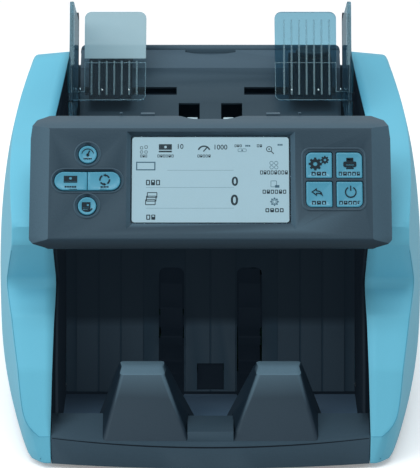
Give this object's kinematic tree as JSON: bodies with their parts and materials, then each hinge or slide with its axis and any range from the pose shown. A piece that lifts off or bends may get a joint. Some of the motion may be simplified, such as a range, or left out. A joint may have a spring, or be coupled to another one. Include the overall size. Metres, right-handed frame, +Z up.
{
  "type": "banknote counting machine",
  "caption": "Bench-top banknote counter: rear hopper with sliding clear note guides, tilted screen and key panel, front stacking pocket with wedge stops, bulging side covers.",
  "frame": {"origin": "on the table plane, midway between the two side covers and midway between the front lip and the rear edge of the covers", "axes": "+X to the operator's right, +Y to the back of the machine, +Z up"},
  "size_m": [0.275, 0.2616, 0.2505],
  "materials": {
    "cover_blue": "fine-grained light blue moulding",
    "slate": "satin slate grey moulding",
    "lip_slate": "satin dark slate moulding",
    "pocket_black": "matt near-black moulding",
    "key_blue": "satin blue keycap",
    "clear_guide": "clear moulded plastic",
    "lens": "clear screen lens",
    "screen": "lit display module",
    "steel": "plain steel",
    "black_steel": "blackened steel sheet",
    "rubber": "matt black rubber",
    "pale_roller": "pale roller rubber",
    "board": "green circuit board"
  },
  "bodies": {
    "machine_body": {"base_plate": "black_steel", "front_left_foot": "rubber", "front_right_foot": "rubber", "rear_left_foot": "rubber", "rear_right_foot": "rubber", "front_lip": "lip_slate", "left_note_stop": "lip_slate", "right_note_stop": "lip_slate", "pocket_tray": "pocket_black", "pocket_back_plate": "pocket_black", "stack_sensor": "pocket_black", "pocket_hood": "pocket_black", "left_side_cover": "cover_blue", "right_side_cover": "cover_blue", "left_side_frame": "black_steel", "right_side_frame": "black_steel", "panel_housing": "slate", "display_window": "lens", "display_module": "screen", "control_board": "board", "hopper_plate": "slate", "hopper_front_wall": "pocket_black", "guide_rail": "black_steel", "retard_roller": "rubber", "lower_image_sensor": "pocket_black", "upper_image_sensor": "pocket_black", "feed_motor": "steel", "stacker_motor": "steel", "drive_belt": "rubber", "pickup_belt": "rubber", "stacker_belt": "rubber", "rear_cover": "slate", "power_inlet": "pocket_black", "power_supply": "board", "main_board": "board"},
    "speed_button": {"speed_key": "key_blue"},
    "report_button": {"report_key": "key_blue"},
    "batch_button": {"batch_key": "key_blue"},
    "add_button": {"add_key": "key_blue"},
    "escape_button": {"escape_key": "key_blue"},
    "start_button": {"start_key": "key_blue"},
    "print_button": {"print_key": "key_blue"},
    "set_button": {"set_key": "key_blue"},
    "left_guide": {"left_note_guide": "clear_guide", "left_guide_carriage": "pocket_black"},
    "right_guide": {"right_note_guide": "clear_guide", "right_guide_carriage": "pocket_black"},
    "left_knob": {"left_guide_knob": "slate"},
    "right_knob": {"right_guide_knob": "slate"},
    "pickup_rollers": {"pickup_roller_shaft": "pale_roller"},
    "feed_rollers": {"feed_roller_shaft": "rubber"},
    "exit_rollers": {"exit_roller_shaft": "rubber"},
    "pinch_rollers": {"pinch_roller_shaft": "pale_roller"},
    "feed_pulley": {"feed_motor_pulley": "steel"},
    "stacker_wheels": {"stacker_shaft": "steel", "left_impeller": "rubber", "right_impeller": "rubber"},
    "stacker_pulley": {"stacker_motor_pulley": "steel"},
    "back_door": {"rear_door": "slate"},
    "mains_rocker": {"power_switch": "pocket_black"}
  },
  "joints": [
    {"name": "speed_press", "type": "slide", "parent": "machine_body", "child": "speed_button", "axis": [0, 0.8192, -0.5736], "range_m": [0, 0.0012], "stiffness_N_per_m": 300, "springref_m": -0.0005},
    {"name": "report_press", "type": "slide", "parent": "machine_body", "child": "report_button", "axis": [0, 0.8192, -0.5736], "range_m": [0, 0.0012], "stiffness_N_per_m": 300, "springref_m": -0.0005},
    {"name": "batch_press", "type": "slide", "parent": "machine_body", "child": "batch_button", "axis": [0, 0.8192, -0.5736], "range_m": [0, 0.0012], "stiffness_N_per_m": 300, "springref_m": -0.0005},
    {"name": "add_press", "type": "slide", "parent": "machine_body", "child": "add_button", "axis": [0, 0.8192, -0.5736], "range_m": [0, 0.0012], "stiffness_N_per_m": 300, "springref_m": -0.0005},
    {"name": "escape_press", "type": "slide", "parent": "machine_body", "child": "escape_button", "axis": [0, 0.8192, -0.5736], "range_m": [0, 0.0012], "stiffness_N_per_m": 300, "springref_m": -0.0005},
    {"name": "start_press", "type": "slide", "parent": "machine_body", "child": "start_button", "axis": [0, 0.8192, -0.5736], "range_m": [0, 0.0012], "stiffness_N_per_m": 300, "springref_m": -0.0005},
    {"name": "print_press", "type": "slide", "parent": "machine_body", "child": "print_button", "axis": [0, 0.8192, -0.5736], "range_m": [0, 0.0012], "stiffness_N_per_m": 300, "springref_m": -0.0005},
    {"name": "set_press", "type": "slide", "parent": "machine_body", "child": "set_button", "axis": [0, 0.8192, -0.5736], "range_m": [0, 0.0012], "stiffness_N_per_m": 300, "springref_m": -0.0005},
    {"name": "left_guide_slide", "type": "slide", "parent": "machine_body", "child": "left_guide", "axis": [1, 0, 0], "range_m": [0, 0.034]},
    {"name": "right_guide_slide", "type": "slide", "parent": "machine_body", "child": "right_guide", "axis": [-1, 0, 0], "range_m": [0, 0.034]},
    {"name": "left_knob_turn", "type": "hinge", "parent": "left_guide", "child": "left_knob", "pos_m": [-0.0684, 0.1041, 0.1994], "axis": [0, 0, 1], "range_deg": [-180, 180]},
    {"name": "right_knob_turn", "type": "hinge", "parent": "right_guide", "child": "right_knob", "pos_m": [0.0684, 0.1041, 0.1994], "axis": [0, 0, 1], "range_deg": [-180, 180]},
    {"name": "feed_turn", "type": "hinge", "parent": "machine_body", "child": "feed_rollers", "pos_m": [0, 0.0634, 0.1121], "axis": [1, 0, 0], "continuous": true},
    {"name": "pickup_turn", "type": "hinge", "parent": "machine_body", "child": "pickup_rollers", "pos_m": [0, 0.0839, 0.1498], "axis": [1, 0, 0], "continuous": true},
    {"name": "exit_turn", "type": "hinge", "parent": "machine_body", "child": "exit_rollers", "pos_m": [0, 0.0249, 0.0818], "axis": [1, 0, 0], "continuous": true},
    {"name": "pinch_turn", "type": "hinge", "parent": "machine_body", "child": "pinch_rollers", "pos_m": [0, 0.0137, 0.0912], "axis": [1, 0, 0], "continuous": true},
    {"name": "feed_motor_turn", "type": "hinge", "parent": "machine_body", "child": "feed_pulley", "pos_m": [0, 0.1008, 0.06], "axis": [1, 0, 0], "continuous": true},
    {"name": "stacker_turn", "type": "hinge", "parent": "machine_body", "child": "stacker_wheels", "pos_m": [0, -0.0052, 0.05], "axis": [1, 0, 0], "continuous": true},
    {"name": "stacker_motor_turn", "type": "hinge", "parent": "machine_body", "child": "stacker_pulley", "pos_m": [0, 0.0468, 0.034], "axis": [1, 0, 0], "continuous": true},
    {"name": "rear_door_hinge", "type": "hinge", "parent": "machine_body", "child": "back_door", "pos_m": [0, 0.1238, 0.066], "axis": [-1, 0, 0], "range_deg": [0, 60]},
    {"name": "rocker_tilt", "type": "hinge", "parent": "machine_body", "child": "mains_rocker", "pos_m": [0.028, 0.1238, 0.027], "axis": [-1, 0, 0], "range_deg": [0, 16]}
  ],
  "couplings": [
    {"joint": "pickup_turn", "follows": "feed_turn", "ratio": 1.5714},
    {"joint": "exit_turn", "follows": "feed_turn", "ratio": 2.3333},
    {"joint": "pinch_turn", "follows": "feed_turn", "ratio": -3.1111},
    {"joint": "feed_motor_turn", "follows": "feed_turn", "ratio": 1.75},
    {"joint": "stacker_motor_turn", "follows": "stacker_turn", "ratio": 2.5}
  ]
}
